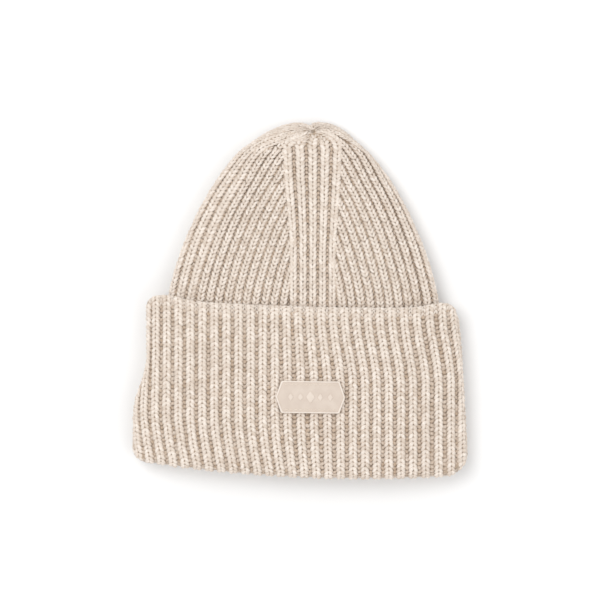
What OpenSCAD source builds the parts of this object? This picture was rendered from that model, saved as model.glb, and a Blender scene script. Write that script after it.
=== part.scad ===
// Chunky rib-knit beanie with a deep turn-up cuff, lying flat on its back.
// +Z is up out of the front face, +Y runs from the mouth to the crown tip, +X is the wearer's-view right.
// The origin is under the middle of the hat, on the surface that it lies on. Millimetres.
//
// The knit is a flattened tube. Every layer of it is the same rounded section, taken in from the
// outside by an offset, so that the turn-up cuff nests round the inner band with a small air gap.

/* [Knit] */
// Thickness of one layer of the rib knit
fabric_t = 4.2; // [3.4:0.1:4.4]
// Air gap between the turn-up cuff and the band inside it
layer_gap = 0.4; // [0.3:0.1:0.6]

/* [Overall] */
// Length from the folded edge to the crown tip
hat_l = 233.4; // [215:0.2:250]
// Height of the cuff stack above the surface
cuff_h = 30.8; // [28:0.2:36]

/* [Cuff] */
// Width of the cuff to the left of the centre line, at its free edge
cuff_left = 100.5; // [96:0.5:104]
// Width of the cuff to the right of the centre line, at its free edge
cuff_right = 102.4; // [98:0.2:106]
// How much wider the left side becomes at the fold
flare_left = 8.9; // [4:0.1:10]
// How much wider the right side becomes at the fold
flare_right = 7.1; // [4:0.1:10]
// Height of the turned-up cuff at the centre line
cuff_depth = 112; // [90:1:120]
// Radius of the rounded corners at the fold
corner_r = 9; // [5:1:12]

/* [Crown] */
// Full width of the crown where it leaves the cuff
crown_w = 179; // [170:1:184]
// Sideways shift of the crown's middle
crown_x = 2; // [0:0.5:3]
// Height of the crown's front face near the tip
tip_h = 16.2; // [14:0.2:20]
// Left edge of the front rib strip at the cuff
strip_left = -7; // [-9:0.5:-5]
// Right edge of the front rib strip at the cuff
strip_right = 24.5; // [20:0.5:26]
// Where the last rows are drawn together, left to right
gather_x = 8; // [4:0.5:12]

/* [Patch] */
// Width of the moulded patch, tip to tip
patch_w = 45; // [38:1:48]
// Height of the patch
patch_d = 20.8; // [17:0.2:24]
// Thickness of the patch plate
patch_t = 1.6; // [1.2:0.1:2]
// Height of the patch's centre above the folded edge
patch_up = 53; // [45:1:60]

/* [Care label] */
// Width of the folded care label
label_w = 24; // [18:1:30]
// Length of the folded care label
label_l = 14; // [10:1:18]

/* [Hidden] */

knit = [0.85, 0.79, 0.73];
knit_edge = [0.87, 0.82, 0.76];
moulded = [0.87, 0.79, 0.72];
thread = [0.90, 0.85, 0.79];

mid_z = cuff_h / 2;                          // height of the side folds of the cuff
band_off = fabric_t + layer_gap;             // outside of the cuff to outside of the band
roll_r = (2 * fabric_t + layer_gap) / 2;     // radius of the rolled edge at the mouth
tip_y = hat_l / 2;
fold_mid_y = -tip_y + 0.97;                  // folded edge on the centre line
edge_mid_y = fold_mid_y + cuff_depth;        // free edge of the cuff on the centre line
crown_y0 = -6;                               // the band ends and the crown starts, under the cuff
gather_y = 104;                              // the crown panels end and the gather starts
crown_len = 120;                             // length of the crown's tapered outline
split_gap = 0.2;                             // half of the gap between the front and back of the cuff
hinge_gap = 1.8;                             // room between the front cuff and its rolled edge
seam_gap = 0.08;                             // hairline between the rolled edge and the layers above it
edge_up = fabric_t / 2;                      // radius of the cuff's free edge

side_pow = 0.8;                              // roundness of the section, 1 is an ellipse
top_pow = 0.8;
under_pow = 1;
under_side_pow = 1 / 3;                      // flatter underside, it rests on the surface
top_flat = 1.012;                            // makes a flat field in the middle of the front face
under_flat = 1.04;                           // makes a flat field under the hat
half_steps = 26;                             // facets round one half of a section
panel_steps = 8;                             // facets across one crown panel
long_steps = 8;                              // facets along the cuff and the band
crown_steps = 13;                            // facets along the crown
strip_spread = 4;                            // how much the front strip widens to each side at the tip

function lerp(a, b, t) = a + (b - a) * t;
function clamp01(t) = min(1, max(0, t));
function smooth(t) = let (c = clamp01(t)) c * c * (3 - 2 * c);
function spow(v, e) = sign(v) * pow(abs(v), e);

// Point [x, z] at angle a of a flattened section: 0 is the right side fold, 90 the top, 180 the left
function section(xc, w, lo, mid, hi, a) =
  let (s = sin(a))
  s >= -1e-9
    ? [xc + w * spow(cos(a), side_pow), mid + (hi - mid) * min(1, top_flat * pow(abs(s), top_pow))]
    : [xc + w * spow(cos(a), under_side_pow), mid - (mid - lo) * min(1, under_flat * pow(abs(s), under_pow))];

// The folded edge and the free edge of the cuff bow and tilt a little; u runs -1 to 1 across the cuff
function corner(u, r) =
  let (k = r / 108, q = clamp01((abs(u) - 1 + k) / k))
  r * (1 - sqrt(1 - q * q));
function fold_y(u) = fold_mid_y - 4.7 * u + 5.7 * u * u + corner(u, corner_r);
function edge_y(u) = edge_mid_y - 2.8 * u + 2.9 * u * u - corner(u, corner_r * 0.6);

// Left and right reach of the cuff, v is 0 at the fold and 1 at the free edge
function reach_l(v) = cuff_left + flare_left * (1 - smooth((v - 0.22) / 0.44));
function reach_r(v) = cuff_right + flare_right * sqrt(clamp01(1 - v));

// Point of the cuff at angle a and height v, taken in from the outside by off; side is 1 on the front
// half and -1 on the back half, which leaves a slit between the two along the side folds
function cuff_pt(a, v, off, side, lift = 0) =
  let (
    l = reach_l(v) - off, r = reach_r(v) - off,
    p = section((r - l) / 2, (l + r) / 2, off, mid_z, cuff_h - off, a),
    u = clamp01((p[0] + l) / (l + r)) * 2 - 1,
    y0 = fold_y(u) + roll_r, y1 = edge_y(u) - edge_up,
    near_side = max(0, 1 - abs(sin(a)) * 1.2)
  )
  [p[0], lerp(y0 + lift, y1, v), p[1] + side * split_gap * near_side];

// Point of the band inside the cuff, v is 0 at the fold and 1 where the crown starts
function band_pt(a, v, off, lift = 0) =
  let (
    l = lerp(reach_l(0) - band_off, crown_w / 2 - crown_x, v) - off + band_off,
    r = lerp(reach_r(0) - band_off, crown_w / 2 + crown_x, v) - off + band_off,
    p = section((r - l) / 2, (l + r) / 2, off, mid_z, cuff_h - off, a),
    u = clamp01((p[0] + l) / (l + r)) * 2 - 1
  )
  [p[0], lerp(fold_y(u) + roll_r + lift, crown_y0, v), p[1]];

// The crown's outline and height, y is the distance up the hat
function crown_half(y) =
  crown_w / 2 * pow(1 - pow(1 - clamp01((tip_y - y) / crown_len), 1.3), 1 / 2.1);
function crown_t(y) = clamp01((y - 6) / (gather_y - 6));
function crown_hi(y) = let (t = crown_t(y)) cuff_h - band_off + 6 * t - (cuff_h - band_off + 6 - tip_h) * t * t;
function crown_lo(y) = band_off * (1 - smooth(crown_t(y) / 0.3));
function crown_mid(y) = lerp(mid_z, tip_h / 2, crown_t(y));
function crown_pt(a, y, off) =
  let (p = section(crown_x, crown_half(y) - off, crown_lo(y) + off, crown_mid(y), crown_hi(y) - off, a))
  [p[0], y, p[1]];

// Angle at which the front face of the crown has a given x; the back uses the same lines
function front_angle(x, y) = acos(spow((x - crown_x) / crown_half(y), 1 / side_pow));
function back_angle(x, y) = 360 - acos(spow((x - crown_x) / crown_half(y), 1 / under_side_pow));
function side_angle(y) = lerp(32, 38, crown_t(y));
function under_side_angle(y) = lerp(44, 50, crown_t(y));
function strip_l(y) = strip_left - strip_spread * crown_t(y);
function strip_r(y) = strip_right + strip_spread * crown_t(y);
function back_l(y) = 2 * crown_x - strip_r(y);
function back_r(y) = 2 * crown_x - strip_l(y);

// Closed slab between two grids of points, outer[i][j] and inner[i][j]
module slab(outer, inner) {
  m = len(outer) - 1;
  n = len(outer[0]) - 1;
  k = (m + 1) * (n + 1);
  function id(i, j) = i * (n + 1) + j;
  pts = concat([for (r = outer) each r], [for (r = inner) each r]);
  faces = concat(
    [for (i = [0:m - 1], j = [0:n - 1]) each [
      [id(i, j), id(i, j + 1), id(i + 1, j + 1)], [id(i, j), id(i + 1, j + 1), id(i + 1, j)],
      [k + id(i, j), k + id(i + 1, j + 1), k + id(i, j + 1)], [k + id(i, j), k + id(i + 1, j), k + id(i + 1, j + 1)]
    ]],
    [for (j = [0:n - 1]) each [
      [id(0, j + 1), id(0, j), k + id(0, j)], [id(0, j + 1), k + id(0, j), k + id(0, j + 1)],
      [id(m, j), id(m, j + 1), k + id(m, j)], [id(m, j + 1), k + id(m, j + 1), k + id(m, j)]
    ]],
    [for (i = [0:m - 1]) each [
      [id(i, 0), id(i + 1, 0), k + id(i + 1, 0)], [id(i, 0), k + id(i + 1, 0), k + id(i, 0)],
      [id(i + 1, n), id(i, n), k + id(i, n)], [id(i + 1, n), k + id(i, n), k + id(i + 1, n)]
    ]]
  );
  polyhedron(pts, faces);
}

// Closed tube through rings of points, each ring a closed loop, capped at both ends
module loft(rings) {
  m = len(rings) - 1;
  n = len(rings[0]);
  function id(i, j) = i * n + j % n;
  pts = [for (r = rings) each r];
  faces = concat(
    [for (i = [0:m - 1], j = [0:n - 1]) each [
      [id(i, j), id(i, j + 1), id(i + 1, j + 1)], [id(i, j), id(i + 1, j + 1), id(i + 1, j)]
    ]],
    [for (j = [1:n - 2]) each [
      [id(0, 0), id(0, j + 1), id(0, j)], [id(m, 0), id(m, j), id(m, j + 1)]
    ]]
  );
  polyhedron(pts, faces);
}

// One half of the cuff, from angle a0 on
module cuff_half(a0, side, lift) {
  angles = [for (i = [0:half_steps]) a0 + 180 * i / half_steps];
  levels = [for (j = [0:long_steps]) j / long_steps];
  slab(
    [for (a = angles) [for (v = levels) cuff_pt(a, v, 0, side, lift)]],
    [for (a = angles) [for (v = levels) cuff_pt(a, v, fabric_t, side, lift)]]
  );
}

// One half of the rounded free edge of the cuff
module edge_half(a0, side) {
  loft([for (i = [0:half_steps])
    let (a = a0 + 180 * i / half_steps)
    [for (f = [0:30:180])
      let (p = cuff_pt(a, 1, edge_up * (1 - cos(f)), side), y = cuff_pt(a, 1, edge_up, side)[1])
      [p[0], y + edge_up * sin(f), p[2]]]
  ]);
}

// One half of the rolled edge round the mouth, where the cuff turns into the band
module fold_half(a0) {
  loft([for (i = [0:half_steps])
    let (a = a0 + 180 * i / half_steps)
    [for (f = [180:-22.5:0])
      let (p = band_pt(a, 0, roll_r * (1 - cos(f))), y = band_pt(a, 0, roll_r)[1])
      [p[0], y - roll_r * sin(f), p[2]]]
  ]);
}

// One half of the band inside the cuff
module band_half(a0) {
  angles = [for (i = [0:half_steps]) a0 + 180 * i / half_steps];
  levels = [for (j = [0:long_steps]) j / long_steps];
  slab(
    [for (a = angles) [for (v = levels) band_pt(a, v, band_off, seam_gap)]],
    [for (a = angles) [for (v = levels) band_pt(a, v, band_off + fabric_t, seam_gap)]]
  );
}

// One crown panel between two lists of angles, one angle per level
module crown_panel(from, to, steps) {
  levels = [for (j = [0:crown_steps]) lerp(crown_y0, gather_y, j / crown_steps)];
  function grid(off) = [for (i = [0:steps]) [for (j = [0:crown_steps])
    crown_pt(lerp(from[j], to[j], i / steps), levels[j], off)]];
  slab(grid(0), grid(fabric_t));
}
crown_levels = [for (j = [0:crown_steps]) lerp(crown_y0, gather_y, j / crown_steps)];

module cuff_front() { color(knit) cuff_half(0, 1, hinge_gap); }
module cuff_back() { color(knit) cuff_half(180, -1, seam_gap); }
module cuff_edge_front() { color(knit_edge) edge_half(0, 1); }
module cuff_edge_back() { color(knit_edge) edge_half(180, -1); }
module fold_front() { color(knit) fold_half(0); }
module fold_back() { color(knit) fold_half(180); }
module inner_band_front() { color(knit) band_half(0); }
module inner_band_back() { color(knit) band_half(180); }

module crown_panel_front_right() {
  color(knit)
    crown_panel([for (y = crown_levels) side_angle(y)], [for (y = crown_levels) front_angle(strip_r(y), y)], panel_steps);
}
module rib_strip_front() {
  color(knit)
    crown_panel([for (y = crown_levels) front_angle(strip_r(y), y)],
      [for (y = crown_levels) front_angle(strip_l(y), y)], panel_steps);
}
module crown_panel_front_left() {
  color(knit)
    crown_panel([for (y = crown_levels) front_angle(strip_l(y), y)],
      [for (y = crown_levels) 180 - side_angle(y)], panel_steps);
}
module rib_strip_left() {
  color(knit)
    crown_panel([for (y = crown_levels) 180 - side_angle(y)],
      [for (y = crown_levels) 180 + under_side_angle(y)], panel_steps);
}
module crown_panel_back_left() {
  color(knit)
    crown_panel([for (y = crown_levels) 180 + under_side_angle(y)],
      [for (y = crown_levels) back_angle(back_l(y), y)], panel_steps);
}
module rib_strip_back() {
  color(knit)
    crown_panel([for (y = crown_levels) back_angle(back_l(y), y)],
      [for (y = crown_levels) back_angle(back_r(y), y)], panel_steps);
}
module crown_panel_back_right() {
  color(knit)
    crown_panel([for (y = crown_levels) back_angle(back_r(y), y)],
      [for (y = crown_levels) 360 - under_side_angle(y)], panel_steps);
}
module rib_strip_right() {
  color(knit)
    crown_panel([for (y = crown_levels) -under_side_angle(y)],
      [for (y = crown_levels) side_angle(y)], panel_steps);
}

// The drawn-in end of the crown, a puckered cap that closes the four panels and four strips
module crown_gather() {
  last = 78;
  cap_l = (tip_y - gather_y) / sin(last);
  color(knit_edge)
    loft([for (f = [0:13:last])
      [for (i = [0:2 * half_steps - 1])
        let (a = 360 * i / (2 * half_steps), p = crown_pt(a, gather_y, 0))
        [lerp(gather_x, p[0], cos(f)), gather_y + cap_l * sin(f), lerp(tip_h * 0.6, p[2], cos(f))]]
    ]);
}

// The yarn that draws the last rows together, with its fastening knot, inside the crown
module closing_yarn() {
  ring_r = 3.4;
  yarn_r = 1.1;
  knot_r = 1.9;
  color(thread)
    translate([gather_x, gather_y - yarn_r - 0.1, tip_h / 2]) {
      rotate([90, 0, 0])
        rotate_extrude($fn = 48)
          translate([ring_r - yarn_r, 0])
            circle(r = yarn_r, $fn = 24);
      translate([ring_r + knot_r - 0.2, 0, 0])
        translate([0, -knot_r + yarn_r, 0])
          sphere(r = knot_r, $fn = 32);
    }
}

patch_y = fold_mid_y + patch_up;
patch_x = 6.7;
patch_turn = -0.7;

// Places the patch's pieces on the front of the cuff, z is the height above the knit
module on_patch(z = 0) {
  translate([patch_x, patch_y, cuff_h + z])
    rotate([0, 0, patch_turn])
      children();
}

// Long six-sided outline, inset from the patch's edge
module patch_outline(inset = 0) {
  w = patch_w / 2 - inset * 1.12;
  d = patch_d / 2 - inset;
  shoulder = w - 3.6;
  polygon([[w, 0], [shoulder, d], [-shoulder, d], [-w, 0], [-shoulder, -d], [shoulder, -d]]);
}

rim_w = 1.1;
rim_h = 0.5;
emblem_h = 0.4;

module patch_base() {
  color(moulded)
    on_patch()
      linear_extrude(patch_t)
        patch_outline();
}

module patch_rim() {
  color(moulded)
    on_patch(patch_t)
      linear_extrude(rim_h)
        difference() {
          patch_outline();
          patch_outline(rim_w);
        }
}

// Plain ornament: a row of lozenges, the middle one larger
module patch_emblem() {
  pitch = 6.4;
  color(moulded)
    on_patch(patch_t)
      linear_extrude(emblem_h)
        for (i = [-2:2]) {
          s = i == 0 ? 4.2 : 2.6;
          translate([i * pitch, 0])
            polygon([[s * 0.72, 0], [0, s], [-s * 0.72, 0], [0, -s]]);
        }
}

// The sewing thread that holds the patch, short stitches along its top and bottom edges
module patch_stitches() {
  count = 11;
  pitch = 3.1;
  stitch_l = 2.1;
  stitch_r = 0.3;
  inset = 2.3;
  color(thread)
    on_patch(patch_t + stitch_r)
      for (side = [-1, 1], i = [0:count - 1])
        translate([(i - (count - 1) / 2) * pitch, side * (patch_d / 2 - inset), 0])
          rotate([0, 90, 0])
            cylinder(r = stitch_r, h = stitch_l, center = true, $fn = 16);
}

label_z = band_off + fabric_t;
label_t = 0.8;
label_y = fold_mid_y + 12;

// Blank woven tape, folded double and sewn inside the back of the band
module care_label() {
  color([0.95, 0.94, 0.92])
    translate([crown_x - label_w / 2, label_y, label_z])
      cube([label_w, label_l, label_t]);
}

module care_label_stitches() {
  count = 6;
  pitch = 3.4;
  stitch_l = 2.2;
  stitch_r = 0.25;
  color(thread)
    for (i = [0:count - 1])
      translate([crown_x + (i - (count - 1) / 2) * pitch, label_y + label_l - 2, label_z + label_t + stitch_r])
        rotate([0, 90, 0])
          cylinder(r = stitch_r, h = stitch_l, center = true, $fn = 16);
}

cuff_front();
cuff_back();
cuff_edge_front();
cuff_edge_back();
fold_front();
fold_back();
inner_band_front();
inner_band_back();
crown_panel_front_left();
crown_panel_front_right();
crown_panel_back_left();
crown_panel_back_right();
rib_strip_front();
rib_strip_back();
rib_strip_left();
rib_strip_right();
crown_gather();
closing_yarn();
patch_base();
patch_rim();
patch_emblem();
patch_stitches();
care_label();
care_label_stitches();
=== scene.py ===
"""Rib-knit beanie lying on its back: every visible stitch is a pair of yarn legs laid on the hat's skin.

The knit is one tube. A Loop is a closed skin round the hat. A place on it is (rho, s): rho is the distance
along the knitting, from the free edge of the cuff on, and s the distance round the hat from the middle of
the front. A rib is a line on the skin, and its stitches are short yarn tubes given in (rho, s, height).
"""
import math

import bpy
import numpy as np
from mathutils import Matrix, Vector


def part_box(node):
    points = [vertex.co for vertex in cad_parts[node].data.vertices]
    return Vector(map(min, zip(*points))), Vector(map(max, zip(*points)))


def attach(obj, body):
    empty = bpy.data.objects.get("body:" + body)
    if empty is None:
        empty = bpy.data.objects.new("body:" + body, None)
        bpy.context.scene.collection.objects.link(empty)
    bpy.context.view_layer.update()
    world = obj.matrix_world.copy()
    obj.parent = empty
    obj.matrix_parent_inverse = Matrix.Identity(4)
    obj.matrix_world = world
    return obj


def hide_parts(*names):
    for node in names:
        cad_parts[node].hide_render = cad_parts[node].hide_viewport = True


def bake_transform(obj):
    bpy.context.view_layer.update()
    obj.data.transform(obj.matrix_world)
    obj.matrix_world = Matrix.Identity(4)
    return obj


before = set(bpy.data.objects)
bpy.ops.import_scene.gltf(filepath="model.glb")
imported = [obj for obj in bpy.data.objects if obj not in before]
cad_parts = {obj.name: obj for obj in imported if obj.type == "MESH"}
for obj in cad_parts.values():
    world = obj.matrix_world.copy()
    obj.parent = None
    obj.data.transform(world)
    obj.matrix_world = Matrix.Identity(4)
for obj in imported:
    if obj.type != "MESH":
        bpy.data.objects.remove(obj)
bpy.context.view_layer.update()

MM = 0.001
BODY = "hat_body"
FLAP = "cuff_flap"
rng = np.random.default_rng(7)

# ---------------------------------------------------------------- sizes, in metres
CUFF_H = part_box("cuff_front")[1][2]  # top of the four layers of the cuff
TIP_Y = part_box("crown_gather")[1][1]
GATHER_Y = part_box("crown_gather")[0][1]  # the crown's panels end here
TIP_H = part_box("crown_gather")[1][2]
FABRIC = 4.2 * MM  # one layer of the rib knit
LAYER_GAP = 0.4 * MM
MID_Z = CUFF_H / 2
BAND_OFF = FABRIC + LAYER_GAP
ROLL_R = FABRIC + LAYER_GAP / 2
EDGE_R = FABRIC / 2
CUFF_DEPTH = 112 * MM
HALF_CUFF = 108 * MM  # about half the cuff's width
FOLD_MID_Y = -TIP_Y + 0.97 * MM
EDGE_MID_Y = FOLD_MID_Y + CUFF_DEPTH
REACH_LEFT, FLARE_LEFT = 100.5 * MM, 8.9 * MM  # to the free edge's corner, and how much further at the fold
REACH_RIGHT, FLARE_RIGHT = 102.4 * MM, 7.1 * MM
CROWN_W, CROWN_X, CROWN_LEN = 179 * MM, 2 * MM, 120 * MM
CROWN_Y0 = -10 * MM  # the crown starts here, hidden under the cuff
CAP_Y = 98 * MM  # from here its rows bend in to the gather
GATHER = np.array([8.1, 109.5, 14.0]) * MM  # where the last rows are drawn together

ROW = 2.7 * MM  # height of one stitch
RIB_PITCH = 7.87 * MM  # one rib and one gutter on the cuff
RIBS = 58  # round the hat
HALF_RIBS = RIBS // 2
COLUMN = 0.405  # half a rib's width over its pitch
EDGE_COLUMN = 0.42  # the same near the free edge
STRIP_RIBS = 5
STRIP_COLUMN = 0.42  # half a strip rib's width over its pitch
GORE_RIBS = (10, 9)  # ribs of the left and the right panel of one face
GORE_COLUMN = 0.91  # a panel rib's width over its pitch
RIGHT_EASE = 0.88  # how much of the outline's way in the ribs of the right panels move
# painted shade: the cloth under the stitches gets a low tone
GROUND_SHADE_TINT = 0.2  # tone of the cloth under the stitches, 0 deep and 1 light


def lerp(a, b, t):
    return a + (b - a) * t


def smooth(t):
    t = np.clip(t, 0, 1)
    return t * t * (3 - 2 * t)


def signed_power(v, e):
    return np.sign(v) * np.abs(v) ** e


def arc_length(points):
    """How far along a line of points each one is."""
    return np.concatenate([[0], np.cumsum(np.linalg.norm(np.diff(points, axis=0), axis=1))])


# ---------------------------------------------------------------- the hat's skin
FRONT_ANGLES = np.linspace(math.pi, 0, 721)
BACK_ANGLES = np.linspace(0, -math.pi, 721)[1:-1]
ANGLES = np.concatenate([FRONT_ANGLES, BACK_ANGLES])


def section(xc, w, lo, mid, hi):
    """x and z round a flattened section: left fold, over the front, right fold, back underneath."""
    s, c = np.sin(ANGLES), np.cos(ANGLES)
    top = s >= -1e-9
    x = xc + w * np.where(top, signed_power(c, 0.8), signed_power(c, 1 / 3))
    over = mid + (hi - mid) * np.minimum(1, 1.012 * np.abs(s) ** 0.8)
    under = mid - (mid - lo) * np.minimum(1, 1.04 * np.abs(s))
    return x, np.where(top, over, under)


def corner(u, r):
    """How far a row across the hat pulls back at its ends for corners of radius r; u runs from -1 to 1."""
    k = r / HALF_CUFF
    q = np.clip((np.abs(u) - 1 + k) / k, 0, 1)
    return r * (1 - np.sqrt(1 - q * q))


def fold_y(u):
    """The line of the fold at the mouth."""
    return FOLD_MID_Y - 4.7 * MM * u + 5.7 * MM * u * u + corner(u, np.where(u < 0, 5.5, 11) * MM)


def edge_y(u):
    """The free edge, with the small humps that it makes beside its corners."""
    humps = 2.8 * np.exp(-((u + 0.86) / 0.11) ** 2) + 2.4 * np.exp(-((u - 0.9) / 0.1) ** 2)
    return EDGE_MID_Y - 2.8 * MM * u + 2.9 * MM * u * u - corner(u, 5.4 * MM) + humps * MM


def reach(v):
    """How far the cuff reaches to the left and the right; v is 0 at the fold and 1 at the free edge."""
    left = REACH_LEFT + FLARE_LEFT * (1 - float(smooth((v - 0.22) / 0.44)))
    right = REACH_RIGHT + FLARE_RIGHT * math.sqrt(max(0.0, 1 - v))
    return left, right


def cuff_row(v, off, roll=0.0):
    """A row round the turn-up, v is 0 at the fold and 1 at the free edge, roll lifts it past that edge."""
    left, right = (side - off for side in reach(v))
    x, z = section((right - left) / 2, (left + right) / 2, off, MID_Z, CUFF_H - off)
    u = np.clip((x + left) / (left + right), 0, 1) * 2 - 1
    y = lerp(fold_y(u) + ROLL_R, edge_y(u) - EDGE_R, v) + roll
    return np.stack([x, y, z], 1)


def band_row(v, off, roll=0.0):
    """A row round the band inside the cuff, v is 0 at the fold and 1 where the crown starts."""
    left, right = (side - BAND_OFF for side in reach(0))
    left = lerp(left, CROWN_W / 2 - CROWN_X, v) - off + BAND_OFF
    right = lerp(right, CROWN_W / 2 + CROWN_X, v) - off + BAND_OFF
    x, z = section((right - left) / 2, (left + right) / 2, off, MID_Z, CUFF_H - off)
    u = np.clip((x + left) / (left + right), 0, 1) * 2 - 1
    y = lerp(fold_y(u) + ROLL_R, CROWN_Y0, v) - roll
    return np.stack([x, y, z], 1)


def crown_half(y):
    """Half the crown's width; the outline narrows to a round tip."""
    t = np.clip((TIP_Y - y) / CROWN_LEN, 0, 1)
    return CROWN_W / 2 * (1 - (1 - t) ** 1.3) ** (1 / 2.1)


def crown_row(y):
    """A row round the crown. It settles from the band's height down to the thinner tip."""
    t = float(np.clip((y - 6 * MM) / (GATHER_Y - 6 * MM), 0, 1))
    top = CUFF_H - BAND_OFF
    hi = top + 6 * MM * t - (top + 6 * MM - TIP_H) * t * t
    lo = BAND_OFF * (1 - float(smooth(t / 0.3)))
    x, z = section(CROWN_X, crown_half(y), lo, lerp(MID_Z, TIP_H / 2, t), hi)
    return np.stack([x, np.full_like(x, y), z], 1)


def cap_row(t):
    """A row of the drawn-in end. Each point of the last flat row runs to the gather on a curve: straight up
    the front, along the outline at the sides, and over the top from the back."""
    p0 = crown_row(CAP_Y)
    sn, cs = np.sin(ANGLES), np.cos(ANGLES)
    behind = np.clip(-sn, 0, 1)
    over = 1 - (1 - behind) ** 2                    # 0 at the sides and in front, 1 in the middle of the back
    across = (p0[:, 0] - CROWN_X) / crown_half(CAP_Y)
    notch = np.exp(-((across + 0.15) / 0.22) ** 2) * np.clip(2 * behind, 0, 1)
    front = np.clip(sn, 0, 1)
    reach_out = 22 - 5 * front - 11 * front ** 2 - 2.5 * over - 2 * notch
    slope = 1 - 0.34 * np.abs(cs) - 0.09 * np.clip(-cs, 0, 1)
    p1 = p0 + np.stack([-0.75 * cs * np.abs(cs), slope, 0.08 + 0 * sn], 1) * reach_out[:, None] * MM
    rise = 8 - 6.5 * front - 5 * front ** 2 + 4.5 * over - 5 * notch
    p2 = GATHER + np.stack([13 * cs, rise, 0.8 + 0.9 * front + 0.8 * front ** 2 - 5 * over], 1) * MM
    p3 = GATHER + np.zeros_like(p0) - [0, 0, 1.5 * MM]
    return (1 - t) ** 3 * p0 + 3 * t * (1 - t) ** 2 * p1 + 3 * t * t * (1 - t) * p2 + t ** 3 * p3


class Loop:
    """A closed skin. Its rows are resampled evenly, from the middle of the front, to the right."""

    columns = 720
    axes = [0, 2]                                   # the plane the way round is measured in
    outward = -1                                    # the cuff's rows run down the hat, the crown's run up

    def __init__(self, rows, centre_x, free=None):
        points, lengths, rights, lefts = [], [], [], []
        fold = len(FRONT_ANGLES) - 1
        for i, row in enumerate(rows):
            closed = np.concatenate([row, row[:1]])
            arc = arc_length(closed[:, self.axes])
            if free is None or i < free:
                place = np.interp(centre_x, closed[:fold + 1, 0], np.arange(fold + 1))
            start = np.interp(place, np.arange(fold + 1), arc[:fold + 1])
            total = arc[-1]
            wanted = (start + np.arange(self.columns) / self.columns * total) % total
            points.append(np.stack([np.interp(wanted, arc, closed[:, k]) for k in range(3)], 1))
            lengths.append(total)
            rights.append(arc[fold] - start)
            lefts.append(-start)
        self.points = np.array(points)
        self.length = np.array(lengths)
        self.right = np.array(rights)
        self.left = np.array(lefts)
        steps = np.linalg.norm(np.diff(self.points, axis=0), axis=2)
        self.rho = np.concatenate([[0], np.cumsum(self.step_sizes(steps))])
        along = np.gradient(self.points, axis=0)
        around = np.roll(self.points, -1, 1) - np.roll(self.points, 1, 1)
        normal = np.cross(around, along) * self.outward
        size = np.linalg.norm(normal, axis=2, keepdims=True)
        self.normals = normal / np.maximum(size, 1e-12)

    def step_sizes(self, steps):
        return steps[:, 0]

    def at(self, rho, s):
        """Points and outward normals at places on the skin; any shape of arrays."""
        r = np.interp(rho, self.rho, np.arange(len(self.rho)))
        i = np.minimum(r.astype(int), len(self.rho) - 2)
        fr = (r - i)[..., None]
        c = (s / np.interp(rho, self.rho, self.length) % 1) * self.columns
        j = c.astype(int) % self.columns
        k = (j + 1) % self.columns
        fc = (c - np.floor(c))[..., None]

        def mix(grid):
            low = grid[i, j] * (1 - fc) + grid[i, k] * fc
            high = grid[i + 1, j] * (1 - fc) + grid[i + 1, k] * fc
            return low * (1 - fr) + high * fr

        normal = mix(self.normals)
        return mix(self.points), normal / np.linalg.norm(normal, axis=-1, keepdims=True)


class CrownLoop(Loop):
    axes = [0, 1, 2]
    outward = 1

    def step_sizes(self, steps):
        return steps.mean(1)


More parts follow.
